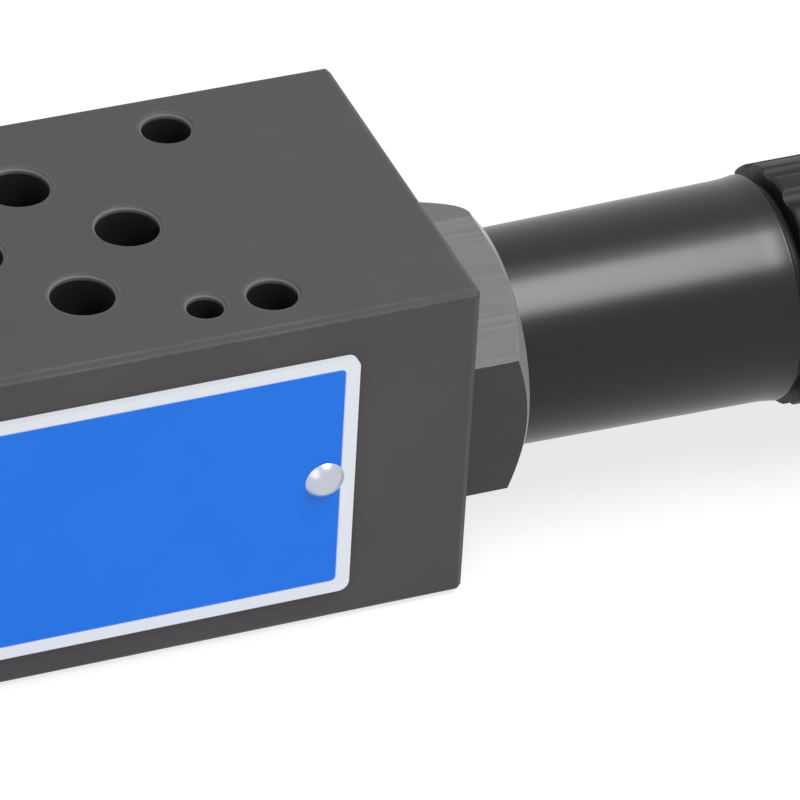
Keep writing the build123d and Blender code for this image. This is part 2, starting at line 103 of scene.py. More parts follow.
def add_node(
    tree: bpy.types.NodeTree,
    kind: str,
    settings: dict[str, Any] | None = None,
    inputs: dict[str | int, Any] | None = None,
) -> bpy.types.Node:
    """Adds one shader node with its settings and links.

    Args:
        tree: Node tree that takes the node.
        kind: Blender's type name of the node, without "ShaderNode" in front.
        settings: Properties of the node by name.
        inputs: A number, a colour or an output socket for each socket name or index.

    Returns:
        The new node.
    """
    node = tree.nodes.new("ShaderNode" + kind)
    for name, value in (settings or {}).items():
        setattr(node, name, value)
    for socket, value in (inputs or {}).items():
        if isinstance(value, bpy.types.NodeSocket):
            tree.links.new(value, node.inputs[socket])
        else:
            node.inputs[socket].default_value = value
    return node


def blank_material(name: str) -> bpy.types.Material:
    """Makes a material with nodes and nothing in it."""
    material = bpy.data.materials.new(name)
    material.use_nodes = True
    material.node_tree.nodes.clear()
    return material


def worn_edges(tree: bpy.types.NodeTree, width_mm: float, patch_mm: float) -> bpy.types.NodeSocket:
    """Marks a strip along every sharp edge, where handling and packing rub a surface.

    Args:
        tree: Node tree of the material.
        width_mm: How far the strip reaches from the edge.
        patch_mm: Size of the patches that are rubbed more or less.

    Returns:
        Output of the mask, 1 on the edges.
    """
    rounded_over = add_node(tree, "Bevel", {"samples": 4}, {"Radius": width_mm * MM})
    surface = add_node(tree, "NewGeometry")
    turn = add_node(
        tree,
        "VectorMath",
        {"operation": "DOT_PRODUCT"},
        {0: rounded_over.outputs["Normal"], 1: surface.outputs["Normal"]},
    )
    near = add_node(
        tree,
        "MapRange",
        inputs={"Value": turn.outputs["Value"], "From Min": 0.995, "From Max": 0.93},
    )
    place = add_node(tree, "TexCoord").outputs["Object"]
    patch = add_node(
        tree,
        "TexNoise",
        inputs={"Vector": place, "Scale": per_feature(patch_mm), "Detail": 4.0},
    )
    uneven = add_node(
        tree,
        "MapRange",
        inputs={"Value": patch.outputs["Fac"], "From Min": 0.3, "From Max": 0.6},
    )
    return add_node(
        tree,
        "Math",
        {"operation": "MULTIPLY"},
        {0: near.outputs["Result"], 1: uneven.outputs["Result"]},
    ).outputs[0]


def finish_surface(tree: bpy.types.NodeTree, shader: bpy.types.NodeSocket) -> None:
    """Links a shader to the material's output."""
    add_node(tree, "OutputMaterial", inputs={"Surface": shader})


def paint(obj: bpy.types.Object, material: bpy.types.Material) -> None:
    """Gives an object one material, whatever it had before."""
    if not obj.material_slots:
        obj.data.materials.append(material)
    for place in obj.material_slots:
        place.material = material


def rounded(outline: Sequence[tuple[float, float]], radius: float, steps: int = 3) -> Outline:
    """Rounds every corner of a closed outline, apart from those on the axis.

    Args:
        outline: Corners as (along the axis, away from the axis).
        radius: How far from each corner the rounding starts, at most.
        steps: Stretches of each rounded corner.

    Returns:
        The outline with each corner as a short curve.
    """
    corners = [Vector(corner) for corner in outline]
    result: Outline = []
    for index, corner in enumerate(corners):
        if corner.y == 0:
            result.append((corner.x, 0))
            continue
        before = corners[index - 1] - corner
        after = corners[(index + 1) % len(corners)] - corner
        reach_before = min(radius, before.length * 0.45)
        reach_after = min(radius, after.length * 0.45)
        start = corner + before.normalized() * reach_before
        end = corner + after.normalized() * reach_after
        for step in range(steps + 1):
            share = step / steps
            point = start * (1 - share) ** 2 + corner * 2 * share * (1 - share) + end * share**2
            result.append((point.x, point.y))
    return result


def skin(name: str, rings: Sequence[Ring], sharp_deg: float = 40.0) -> bpy.types.Object:
    """Joins rings of points into one closed skin, the last ring back to the first.

    Args:
        name: Name of the new object.
        rings: Rings with as many points each, in order round the section.
        sharp_deg: Edges that turn more than this stay sharp.

    Returns:
        The new object, linked to the scene.
    """
    mesh = bpy.data.meshes.new(name)
    builder = bmesh.new()
    loops = [[builder.verts.new(point) for point in ring] for ring in rings]
    count = len(loops[0])
    for index, loop in enumerate(loops):
        following = loops[(index + 1) % len(loops)]
        for place in range(count):
            beside = (place + 1) % count
            builder.faces.new((loop[place], loop[beside], following[beside], following[place]))
    bmesh.ops.remove_doubles(builder, verts=builder.verts, dist=WELD)
    bmesh.ops.recalc_face_normals(builder, faces=builder.faces)
    builder.to_mesh(mesh)
    builder.free()
    mesh.shade_smooth()
    mesh.set_sharp_from_angle(angle=math.radians(sharp_deg))
    obj = bpy.data.objects.new(name, mesh)
    bpy.context.scene.collection.objects.link(obj)
    # Long faces keep their own shading where a small rounding meets them.
    shading = obj.modifiers.new("area_weighted_shading", "WEIGHTED_NORMAL")
    shading.keep_sharp = True
    return obj


@dataclass(frozen=True)
class AdjusterAxis:
    """Line along X that the cartridge, the barrel and the knob share."""

    y: float
    z: float

    @classmethod
    def from_frame(cls) -> "AdjusterAxis":
        """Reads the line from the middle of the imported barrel."""
        low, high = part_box("bonnet_sleeve")
        return cls((low.y + high.y) / 2, (low.z + high.z) / 2)

    def ring(self, x: float, count: int, radius: Callable[[float], float]) -> Ring:
        """Makes one ring of points round the line.

        Args:
            x: Place of the ring.
            count: Number of points.
            radius: Gives the radius for an angle, where 0 is +Y and a quarter turn is +Z.

        Returns:
            The ring's points.
        """
        points = []
        for index in range(count):
            angle = 2 * math.pi * index / count
            reach = radius(angle)
            offset = Vector((0, math.cos(angle), math.sin(angle))) * reach
            points.append(Vector((x, self.y, self.z)) + offset)
        return points

    def turned(self, name: str, outline: Sequence[tuple[float, float]], count: int) -> bpy.types.Object:
        """Turns a closed outline round the line.

        Args:
            name: Name of the new object.
            outline: Corners as (x, radius); those on the line become one point.
            count: Number of points round the line.

        Returns:
            The new object.
        """
        rings = [self.ring(x, count, lambda angle, reach=reach: reach) for x, reach in outline]
        return skin(name, rings)


# Finishes


class ToolMark(Enum):
    """Direction of the fine lines that making a metal piece leaves on it."""

    TURNED = "turned"
    DRAWN = "drawn"
    GROUND = "ground"


@dataclass(frozen=True)
class PhosphatedIron:
    """Ductile iron, milled all over and manganese phosphated.

    The eye gets a warm dark grey that is matte and faintly mottled, with a fine crystal
    grain and chamfers rubbed a little lighter, a painted highlight on the rims of the holes
    and painted shade in the bores.
    """

    name: str = "manganese_phosphated_iron"
    dark: str = "444142"
    light: str = "4F4C4D"
    rubbed: str = "625F60"
    # Painted shade inside the bores.
    painted_bore_shade: str = "1D1B1B"
    # Painted highlight on the rims of the holes.
    rim: str = "716E6E"
    roughness: float = 0.68
    specular: float = 0.3
    mottle_mm: float = 9.0
    # Real phosphate crystals are under 0.05 mm; drawn coarser so that they show.
    grain_mm: float = 0.28
    grain_depth_mm: float = 0.02
    worn_mm: float = 0.5
    # Depth where the painted rim highlight gives way to the painted bore shade.
    rim_mm: float = 0.55
    skin_mm: float = 0.7

    def build(self, node: str) -> bpy.types.Material:
        """Makes the material for a block-shaped CAD node.

        Args:
            node: CAD node whose box tells which surfaces lie inside the block.

        Returns:
            The material.
        """
        material = blank_material(self.name)
        tree = material.node_tree
        place = add_node(tree, "TexCoord").outputs["Object"]
        depth_in_plan, depth_down = self._depths(tree, place, node)
        mottle = add_node(
            tree,
            "TexNoise",
            inputs={"Vector": place, "Scale": per_feature(self.mottle_mm), "Detail": 5.0},
        )
        grain = add_node(
            tree,
            "TexNoise",
            inputs={"Vector": place, "Scale": per_feature(self.grain_mm), "Detail": 3.0},
        )
        share = add_node(
            tree,
            "Math",
            {"operation": "MULTIPLY_ADD"},
            {0: grain.outputs["Fac"], 1: 0.5, 2: -0.25},
        )
        share = add_node(
            tree,
            "Math",
            {"operation": "ADD", "use_clamp": True},
            {0: mottle.outputs["Fac"], 1: share.outputs[0]},
        )
        coat = add_node(
            tree,
            "Mix",
            {"data_type": "RGBA"},
            {"Factor": share.outputs[0], "A": linear(self.dark), "B": linear(self.light)},
        )
        worn = add_node(
            tree,
            "Mix",
            {"data_type": "RGBA"},
            {
                "Factor": worn_edges(tree, self.worn_mm, self.mottle_mm),
                "A": coat.outputs["Result"],
                "B": linear(self.rubbed),
            },
        )
        # Paints a highlight on the rims of the holes, then shade in the bores below rim_mm.
        for floor_mm, colour in ((0.02, self.rim), (self.rim_mm, self.painted_bore_shade)):
            below = add_node(
                tree,
                "MapRange",
                {"interpolation_type": "SMOOTHSTEP"},
                {
                    "Value": depth_down,
                    "From Min": floor_mm * MM,
                    "From Max": (floor_mm + 0.25) * MM,
                },
            )
            inside = add_node(
                tree,
                "Math",
                {"operation": "MULTIPLY"},
                {0: below.outputs["Result"], 1: depth_in_plan},
            )
            worn = add_node(
                tree,
                "Mix",
                {"data_type": "RGBA"},
                {"Factor": inside.outputs[0], "A": worn.outputs["Result"], "B": linear(colour)},
            )
        sheen = add_node(
            tree,
            "MapRange",
            inputs={
                "Value": mottle.outputs["Fac"],
                "To Min": self.roughness - 0.06,
                "To Max": self.roughness + 0.06,
            },
        )
        bump = add_node(
            tree,
            "Bump",
            inputs={
                "Strength": 0.5,
                "Distance": self.grain_depth_mm * MM,
                "Height": grain.outputs["Fac"],
            },
        )
        surface = add_node(
            tree,
            "BsdfPrincipled",
            inputs={
                "Base Color": worn.outputs["Result"],
                "Roughness": sheen.outputs["Result"],
                "Specular IOR Level": self.specular,
                "Normal": bump.outputs["Normal"],
            },
        )
        finish_surface(tree, surface.outputs["BSDF"])
        return material

    def _depths(
        self, tree: bpy.types.NodeTree, place: bpy.types.NodeSocket, node: str
    ) -> tuple[bpy.types.NodeSocket, bpy.types.NodeSocket]:
        """Measures how deep a point lies inside the block.

        Args:
            tree: Node tree of the material.
            place: Output with the place in metres.
            node: CAD node whose box is the block.

        Returns:
            Output that is 1 inside all four sides, and the depth in metres below the top or
            above the underside.
        """
        low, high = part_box(node)
        half = (high - low) / 2
        middle = (low + high) / 2
        centred = add_node(
            tree, "VectorMath", {"operation": "SUBTRACT"}, {0: place, 1: tuple(middle)}
        )
        outward = add_node(tree, "VectorMath", {"operation": "ABSOLUTE"}, {0: centred.outputs[0]})
        depth = add_node(
            tree, "VectorMath", {"operation": "SUBTRACT"}, {0: tuple(half), 1: outward.outputs[0]}
        )
        split = add_node(tree, "SeparateXYZ", inputs={"Vector": depth.outputs[0]})
        nearest = add_node(
            tree,
            "Math",
            {"operation": "MINIMUM"},
            {0: split.outputs["X"], 1: split.outputs["Y"]},
        )
        inside = add_node(
            tree,
            "Math",
            {"operation": "GREATER_THAN"},
            {0: nearest.outputs[0], 1: self.skin_mm * MM},
        )
        return inside.outputs[0], split.outputs["Z"]


@dataclass(frozen=True)
class PrintedAluminiumPlate:
    """Aluminium sheet, anodised, printed blue inside a white margin.

    The eye gets a flat bright blue with a satin gloss and a crisp white line all round that
    runs over the sheet's edge.
    """

    name: str = "printed_anodised_aluminium"
    ink: str = "1078EC"
    ink_deep: str = "0C70E4"
    margin: str = "E8ECF3"
    edge: str = "DDE1E8"
    roughness: float = 0.42
    margin_mm: float = 1.6
    top_margin_mm: float = 1.2
    corner_mm: float = 0.6
    soft_mm: float = 0.12
    ink_patch_mm: float = 12.0
    # Anodised sheet has rolling lines finer than this; drawn so that they just show.
    grain_mm: float = 0.2

    def build(self, node: str) -> bpy.types.Material:
        """Makes the material for a plate that faces -Y.

        Args:
            node: CAD node of the plate, whose box gives its middle and size.

        Returns:
            The material.
        """
        low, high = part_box(node)
        material = blank_material(self.name)
        tree = material.node_tree
        coordinates = add_node(tree, "TexCoord")
        place = coordinates.outputs["Object"]
        distance = self._distance_to_field(tree, place, low, high)
        field = add_node(
            tree,
            "MapRange",
            {"interpolation_type": "SMOOTHSTEP"},
            {
                "Value": distance,
                "From Min": -self.soft_mm * MM,
                "From Max": self.soft_mm * MM,
                "To Min": 1.0,
                "To Max": 0.0,
            },
        ).outputs["Result"]
        patch = add_node(
            tree,
            "TexNoise",
            inputs={"Vector": place, "Scale": per_feature(self.ink_patch_mm), "Detail": 2.0},
        )
        ink = add_node(
            tree,
            "Mix",
            {"data_type": "RGBA"},
            {
                "Factor": patch.outputs["Fac"],
                "A": linear(self.ink_deep),
                "B": linear(self.ink),
            },
        )
        face = add_node(
            tree,
            "Mix",
            {"data_type": "RGBA"},
            {"Factor": field, "A": linear(self.margin), "B": ink.outputs["Result"]},
        )
        normal = add_node(tree, "SeparateXYZ", inputs={"Vector": coordinates.outputs["Normal"]})
        bare = add_node(tree, "Math", {"operation": "GREATER_THAN"}, {0: normal.outputs["Y"], 1: -0.5})
        colour = add_node(
            tree,
            "Mix",
            {"data_type": "RGBA"},
            {"Factor": bare.outputs[0], "A": face.outputs["Result"], "B": linear(self.edge)},
        )
        grain = add_node(
            tree,
            "TexNoise",
            inputs={"Vector": place, "Scale": per_feature(self.grain_mm), "Detail": 2.0},
        )
        bump = add_node(
            tree,
            "Bump",
            inputs={"Strength": 0.15, "Distance": 0.01 * MM, "Height": grain.outputs["Fac"]},
        )
        surface = add_node(
            tree,
            "BsdfPrincipled",
            inputs={
                "Base Color": colour.outputs["Result"],
                "Roughness": self.roughness,
                "Specular IOR Level": 0.25,
                "Normal": bump.outputs["Normal"],
            },
        )
        finish_surface(tree, surface.outputs["BSDF"])
        return material

    def _distance_to_field(
        self,
        tree: bpy.types.NodeTree,
        place: bpy.types.NodeSocket,
        low: Vector,
        high: Vector,
    ) -> bpy.types.NodeSocket:
        """Measures how far a point lies outside the printed field's rounded rectangle.

        Args:
            tree: Node tree of the material.
            place: Output with the place in metres.
            low: Lowest corner of the plate.
            high: Highest corner of the plate.

        Returns:
            Output with the distance, below zero inside the field.
        """
        inset = (self.margin_mm + self.corner_mm) * MM
        raised = (self.margin_mm - self.top_margin_mm) / 2 * MM
        middle = (low + high) / 2 + Vector((0, 0, raised))
        half = (high - low) / 2 - Vector((inset, 0, inset - raised))
        half.y = 1.0
        centred = add_node(
            tree, "VectorMath", {"operation": "SUBTRACT"}, {0: place, 1: tuple(middle)}
        )
        outward = add_node(tree, "VectorMath", {"operation": "ABSOLUTE"}, {0: centred.outputs[0]})
        beyond = add_node(
            tree, "VectorMath", {"operation": "SUBTRACT"}, {0: outward.outputs[0], 1: tuple(half)}
        )
        past = add_node(
            tree, "VectorMath", {"operation": "MAXIMUM"}, {0: beyond.outputs[0], 1: (0, 0, 0)}
        )
        reach = add_node(tree, "VectorMath", {"operation": "LENGTH"}, {0: past.outputs[0]})
        return add_node(
            tree,
            "Math",
            {"operation": "SUBTRACT"},
            {0: reach.outputs["Value"], 1: self.corner_mm * MM},
        ).outputs[0]


@dataclass(frozen=True)
class MachinedMetal:
    """A bare or blackened metal with the lines that its tool left.

    The eye gets a colour, a spread of gloss and fine lines that run round the axis, along
    it, or across it at random.
    """

    name: str
    colour: str
    roughness: float
    mark: ToolMark
    metallic: float = 1.0
    # Tool lines are finer than this; drawn as coarse as they need to be to show.
    line_mm: float = 0.25
    line_strength: float = 0.25
    shade: float = 0.12
    rubbed: str = "C6C7CA"
    worn_mm: float = 0.2
    worn: float = 0.5
    # Colour of a painted highlight on faces that look along +X, if any.
    painted_highlight_colour: str | None = None

    def build(self, axis: AdjusterAxis) -> bpy.types.Material:
        """Makes the material.

        Args:
            axis: Line that turned marks run round.

        Returns:
            The material.
        """
        material = blank_material(self.name)
        tree = material.node_tree
        place = add_node(tree, "TexCoord").outputs["Object"]
        lines = self._lines(tree, place, axis)
        cloud = add_node(
            tree,
            "TexNoise",
            inputs={"Vector": place, "Scale": per_feature(4.0), "Detail": 3.0},
        )
        light = linear(self.colour)
        dark = tuple(value * (1 - self.shade) for value in light[:3]) + (1.0,)
        colour = add_node(
            tree,
            "Mix",
            {"data_type": "RGBA"},
            {"Factor": cloud.outputs["Fac"], "A": dark, "B": light},
        )
        gloss = add_node(
            tree,
            "MapRange",
            inputs={
                "Value": lines,
                "To Min": max(0.02, self.roughness - 0.05),
                "To Max": self.roughness + 0.05,
            },
        )
        bump = add_node(
            tree,
            "Bump",
            inputs={"Strength": self.line_strength, "Distance": 0.01 * MM, "Height": lines},
        )
        edge = worn_edges(tree, self.worn_mm, 3.0)
        share = add_node(tree, "Math", {"operation": "MULTIPLY"}, {0: edge, 1: self.worn})
        worn = add_node(
            tree,
            "Mix",
            {"data_type": "RGBA"},
            {
                "Factor": share.outputs[0],
                "A": colour.outputs["Result"],
                "B": linear(self.rubbed),
            },
        )
        # Faces that look along +X take the painted highlight.
        if self.painted_highlight_colour:
            normal = add_node(
                tree,
                "SeparateXYZ",
                inputs={"Vector": add_node(tree, "TexCoord").outputs["Normal"]},
            )
            outward = add_node(
                tree,
                "MapRange",
                inputs={"Value": normal.outputs["X"], "From Min": 0.5, "From Max": 0.6},
            )
            worn = add_node(
                tree,
                "Mix",
                {"data_type": "RGBA"},
                {
                    "Factor": outward.outputs["Result"],
                    "A": worn.outputs["Result"],
                    "B": linear(self.painted_highlight_colour),
                },
            )
        surface = add_node(
            tree,
            "BsdfPrincipled",
            inputs={
                "Base Color": worn.outputs["Result"],
                "Metallic": self.metallic,
                "Roughness": gloss.outputs["Result"],
                "Normal": bump.outputs["Normal"],
            },
        )
        finish_surface(tree, surface.outputs["BSDF"])
        return material

    def _lines(
        self, tree: bpy.types.NodeTree, place: bpy.types.NodeSocket, axis: AdjusterAxis
    ) -> bpy.types.NodeSocket:
        """Draws the tool's lines as stretched noise.

        Args:
            tree: Node tree of the material.
            place: Output with the place in metres.
            axis: Line that turned marks run round.

        Returns:
            Output of the pattern, from 0 to 1.
        """
        along = per_feature(self.line_mm)
        if self.mark is ToolMark.TURNED:
            from_axis = add_node(
                tree,
                "VectorMath",
                {"operation": "SUBTRACT"},
                {0: place, 1: (0.0, axis.y, axis.z)},
            )
            split = add_node(tree, "SeparateXYZ", inputs={"Vector": from_axis.outputs[0]})
            flat = add_node(
                tree,
                "CombineXYZ",
                inputs={"Y": split.outputs["Y"], "Z": split.outputs["Z"]},
            )
            reach = add_node(tree, "VectorMath", {"operation": "LENGTH"}, {0: flat.outputs[0]})
            ring = add_node(
                tree,
                "CombineXYZ",
                inputs={"X": split.outputs["X"], "Y": reach.outputs["Value"]},
            )
            spot, stretch = ring.outputs[0], (along, along, along)
        elif self.mark is ToolMark.DRAWN:
            spot, stretch = place, (along * 0.03, along, along)
        else:
            spot, stretch = place, (along, along * 0.1, along)
        scaled = add_node(tree, "VectorMath", {"operation": "MULTIPLY"}, {0: spot, 1: stretch})
        return add_node(
            tree, "TexNoise", inputs={"Vector": scaled.outputs[0], "Scale": 1.0, "Detail": 2.0}
        ).outputs["Fac"]


@dataclass(frozen=True)
class MouldedPolymer:
    """A polymer as it leaves its mould or its coating line.

    The eye gets one deep colour, a gloss that its roughness sets and a grain as fine as
    the tool's.
    """

    name: str
    colour: str
    roughness: float
    ior: float = 1.5
    grain_mm: float = 0.3
    grain_strength: float = 0.2
    grain_depth_mm: float = 0.02
    drift: float = 0.04
    specular: float = 0.5
    rubbed: str = "4A4A4B"
    worn_mm: float = 0.25
    worn: float = 0.35

    def build(self) -> bpy.types.Material:
        """Makes the material."""
        material = blank_material(self.name)
        tree = material.node_tree
        place = add_node(tree, "TexCoord").outputs["Object"]
        grain = add_node(
            tree,
            "TexNoise",
            inputs={"Vector": place, "Scale": per_feature(self.grain_mm), "Detail": 2.0},
        )
        cloud = add_node(
            tree,
            "TexNoise",
            inputs={"Vector": place, "Scale": per_feature(6.0), "Detail": 3.0},
        )
        light = linear(self.colour)
        dark = tuple(value * 0.8 for value in light[:3]) + (1.0,)
        colour = add_node(
            tree,
            "Mix",
            {"data_type": "RGBA"},
            {"Factor": cloud.outputs["Fac"], "A": dark, "B": light},
        )
        gloss = add_node(
            tree,
            "MapRange",
            inputs={
                "Value": cloud.outputs["Fac"],
                "To Min": max(0.02, self.roughness - self.drift),
                "To Max": self.roughness + self.drift,
            },
        )
        bump = add_node(
            tree,
            "Bump",
            inputs={
                "Strength": self.grain_strength,
                "Distance": self.grain_depth_mm * MM,
                "Height": grain.outputs["Fac"],
            },
        )
        edge = worn_edges(tree, self.worn_mm, 3.0)
        share = add_node(tree, "Math", {"operation": "MULTIPLY"}, {0: edge, 1: self.worn})
        worn = add_node(
            tree,
            "Mix",
            {"data_type": "RGBA"},
            {
                "Factor": share.outputs[0],
                "A": colour.outputs["Result"],
                "B": linear(self.rubbed),
            },
        )
        surface = add_node(
            tree,
            "BsdfPrincipled",
            inputs={
                "Base Color": worn.outputs["Result"],
                "Roughness": gloss.outputs["Result"],
                "Specular IOR Level": self.specular,
                "IOR": self.ior,
                "Normal": bump.outputs["Normal"],
            },
        )
        finish_surface(tree, surface.outputs["BSDF"])
        return material


# Sub-assemblies


@dataclass
class PortedBlock:
    """Iron block with its port pattern and the four seals under it."""

    iron: PhosphatedIron = PhosphatedIron()
    # Nitrile rubber, moulded: black, with the soft sheen of a clean O-ring.
    rubber: MouldedPolymer = MouldedPolymer("moulded_nitrile_rubber", "1B1B1C", 0.5, 1.52)

    def dress(self, nodes: dict[str, bpy.types.Object]) -> None:
        """Paints the block and its seals.

        Args:
            nodes: CAD nodes by name.
        """
        paint(nodes["valve_body"], self.iron.build("valve_body"))
        rubber = self.rubber.build()
        for name in ("port_seal_p", "port_seal_a", "port_seal_b", "port_seal_t"):
            paint(nodes[name], rubber)
            LOG.info("%s: painted", name)
        LOG.info("valve_body: painted")


@dataclass
class NamePlate:
    """Printed plate, left bare of any name, and its two drive rivets."""

    sheet: PrintedAluminiumPlate = PrintedAluminiumPlate()
    # Aluminium, cold headed: bright and nearly smooth, with a soft metal gloss; the blue in its grey is
    # a painted reflection of the plate.
    rivet: MachinedMetal = MachinedMetal(
        "cold_headed_aluminium", "C6CBD6", 0.3, ToolMark.GROUND, line_strength=0.1
    )

    def dress(self, nodes: dict[str, bpy.types.Object], axis: AdjusterAxis) -> None:
        """Paints the plate and its rivets.

        Args:
            nodes: CAD nodes by name.
            axis: Line that turned marks run round.
        """
        paint(nodes["name_plate"], self.sheet.build("name_plate"))
        rivet = self.rivet.build(axis)
        for name in ("plate_rivet_right", "plate_rivet_left"):
            paint(nodes[name], rivet)
            LOG.info("%s: painted", name)
        LOG.info("name_plate: painted")


@dataclass
class Barrel:
    """Smooth black barrel between the hexagon and the knob."""

    root_radius: float = 12.0 * MM
    end_radius: float = 12.5 * MM
    flare_length: float = 3.0 * MM
    flare_steps: int = 6
    bore_radius: float = 10.4 * MM
    thread_radius: float = 9.05 * MM
    thread_length: float = 8.2 * MM
    edge: float = 0.3 * MM
    points_round: int = 192
    # Aluminium, turned, anodised black and lacquered: deep black with one long soft streak.
    lacquer: MouldedPolymer = MouldedPolymer(
        "lacquered_black_anodised_aluminium",
        "0C0C0D",
        0.28,
        1.5,
        grain_mm=0.8,
        grain_strength=0.05,
        drift=0.01,
        specular=0.38,
        worn=0.15,
    )

    def build(self, axis: AdjusterAxis) -> bpy.types.Object:
        """Builds the barrel with rounded edges in place of the CAD one.

        Args:
            axis: The adjuster's line.

        Returns:
            The barrel.
        """
        low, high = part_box("bonnet_sleeve")
        lip_radius = (high.z - low.z) / 2
        taper = (self.end_radius - self.root_radius) / (high.x - low.x)
        flare = []
        for step in range(1, self.flare_steps + 1):
            share = step / self.flare_steps
            lift = (lip_radius - self.end_radius) * (1 - share) ** 2
            back = self.flare_length * share
            flare.append((high.x - back, self.end_radius - taper * back + lift))
        outline = rounded(
            [
                (low.x, self.thread_radius),
                (low.x + self.thread_length, self.thread_radius),
                (low.x + self.thread_length, self.bore_radius),
                (high.x, self.bore_radius),
                (high.x, lip_radius),
                *flare,
                (low.x, self.root_radius),
            ],
            self.edge,
        )
        barrel = axis.turned("barrel", outline, self.points_round)
        paint(barrel, self.lacquer.build())
        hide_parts("bonnet_sleeve")
        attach(barrel, "valve")
        LOG.info("barrel: %d faces", len(barrel.data.polygons))
        return barrel


@dataclass
class Knob:
    """Ribbed moulded knob with the hub that slides inside the barrel."""

    ribs: int = 16
    points_per_rib: int = 20
    groove_radius: float = 1.5 * MM
    groove_depth: float = 0.75 * MM
    groove_blend: float = 0.12 * MM
    end_band: float = 2.6 * MM
    groove_runout: float = 1.2 * MM
    # Set in from the barrel's lip, so that the gap between the two stays dark.
    spigot_radius: float = 11.2 * MM
    spigot_length: float = 1.2 * MM
    edge: float = 0.5 * MM
    length: float = 22.7 * MM
    hub_radius: float = 10.1 * MM
    seal_groove_start: float = 2.0 * MM
    seal_groove_length: float = 1.8 * MM
    seal_groove_radius: float = 8.9 * MM
    shank_bore: float = 5.2 * MM
    insert_bore: float = 7.02 * MM
    pocket_radius: float = 7.1 * MM
    cap_radius: float = 9.0 * MM
    cap_depth: float = 2.4 * MM
    # Glass-filled nylon, moulded on an eroded tool: black, satin, with a fine even grain.
    nylon: MouldedPolymer = MouldedPolymer(
        "moulded_black_nylon",
        "121213",
        0.48,
        1.53,
        grain_mm=0.25,
        grain_strength=0.3,
        specular=0.25,
        worn=0.12,
    )

    def groove_at(self, angle: float, crest: float) -> float:
        """Gives how deep the grooves are at an angle, with softened edges.

        Args:
            angle: Angle round the knob, 0 at +Y.
            crest: Radius over the ribs.

        Returns:
            Depth below the crest.
        """
        pitch = 2 * math.pi / self.ribs
        # The middle of a rib points at +Z, as in the CAD.
        offset = (angle - math.pi / 2) % pitch - pitch / 2
        across = abs(crest * math.sin(offset))
        if across < self.groove_radius:
            cut = math.sqrt(self.groove_radius**2 - across**2)
        else:
            cut = self.groove_radius - across
        cut -= self.groove_radius - self.groove_depth
        return (cut + math.hypot(cut, self.groove_blend)) / 2

    def build(self, axis: AdjusterAxis) -> bpy.types.Object:
        """Builds the knob in place of the CAD one.

        Args:
            axis: The adjuster's line.

        Returns:
            The knob.
        """
        low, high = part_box("control_knob")
        crest = (high.z - low.z) / 2
        front = high.x - self.length
        groove_end = high.x - self.end_band
        hub_start, hub_end = low.x, front - self.spigot_length
        seal_start = hub_start + self.seal_groove_start
        cap_seat = high.x - self.cap_depth
        corners = rounded(
            [
                (hub_start, self.shank_bore),
                (cap_seat - self.cap_depth, self.shank_bore),
                (cap_seat - self.cap_depth, self.pocket_radius),
                (cap_seat, self.pocket_radius),
                (cap_seat, self.cap_radius),
                (high.x, self.cap_radius),
                (high.x, crest),
                (front, crest),
                (front, self.spigot_radius),
                (hub_end, self.spigot_radius),
                (hub_end, self.hub_radius),
                (seal_start + self.seal_groove_length, self.hub_radius),
                (seal_start + self.seal_groove_length, self.seal_groove_radius),
                (seal_start, self.seal_groove_radius),
                (seal_start, self.hub_radius),
                (hub_start, self.hub_radius),
            ],
            self.edge,
        )
        outline = self._with_stations(corners, crest, groove_end)
        rings = []
        for x, reach in outline:
            fade = min(1.0, max(0.0, (groove_end - x) / self.groove_runout))
            fade = fade * fade * (3 - 2 * fade)

            def radius(angle: float, reach: float = reach, fade: float = fade) -> float:
                """Gives the smaller of the outline's radius and the ribs'."""
                return min(reach, crest - fade * self.groove_at(angle, crest))

            rings.append(axis.ring(x, self.ribs * self.points_per_rib, radius))
        knob = skin("ribbed_knob", rings, 50.0)
        paint(knob, self.nylon.build())
        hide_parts("control_knob")
        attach(knob, "adjuster")
        LOG.info("ribbed_knob: %d faces", len(knob.data.polygons))
        return knob

    def _with_stations(self, outline: Outline, crest: float, groove_end: float) -> Outline:
        """Adds points along the crest where the grooves run out.

        Args:
            outline: Rounded outline of the knob's section.
            crest: Radius over the ribs.
            groove_end: Place where the last trace of a groove ends.

        Returns:
            The outline with the added points, in the same order.
        """
        steps = 8
        result: Outline = []
        for index, (x, reach) in enumerate(outline):
            result.append((x, reach))
            following = outline[(index + 1) % len(outline)]
            if min(reach, following[1]) > crest * 0.999 and x > groove_end > following[0]:
                for step in range(steps + 1):
                    result.append((groove_end - self.groove_runout * step / steps, crest))
        return result


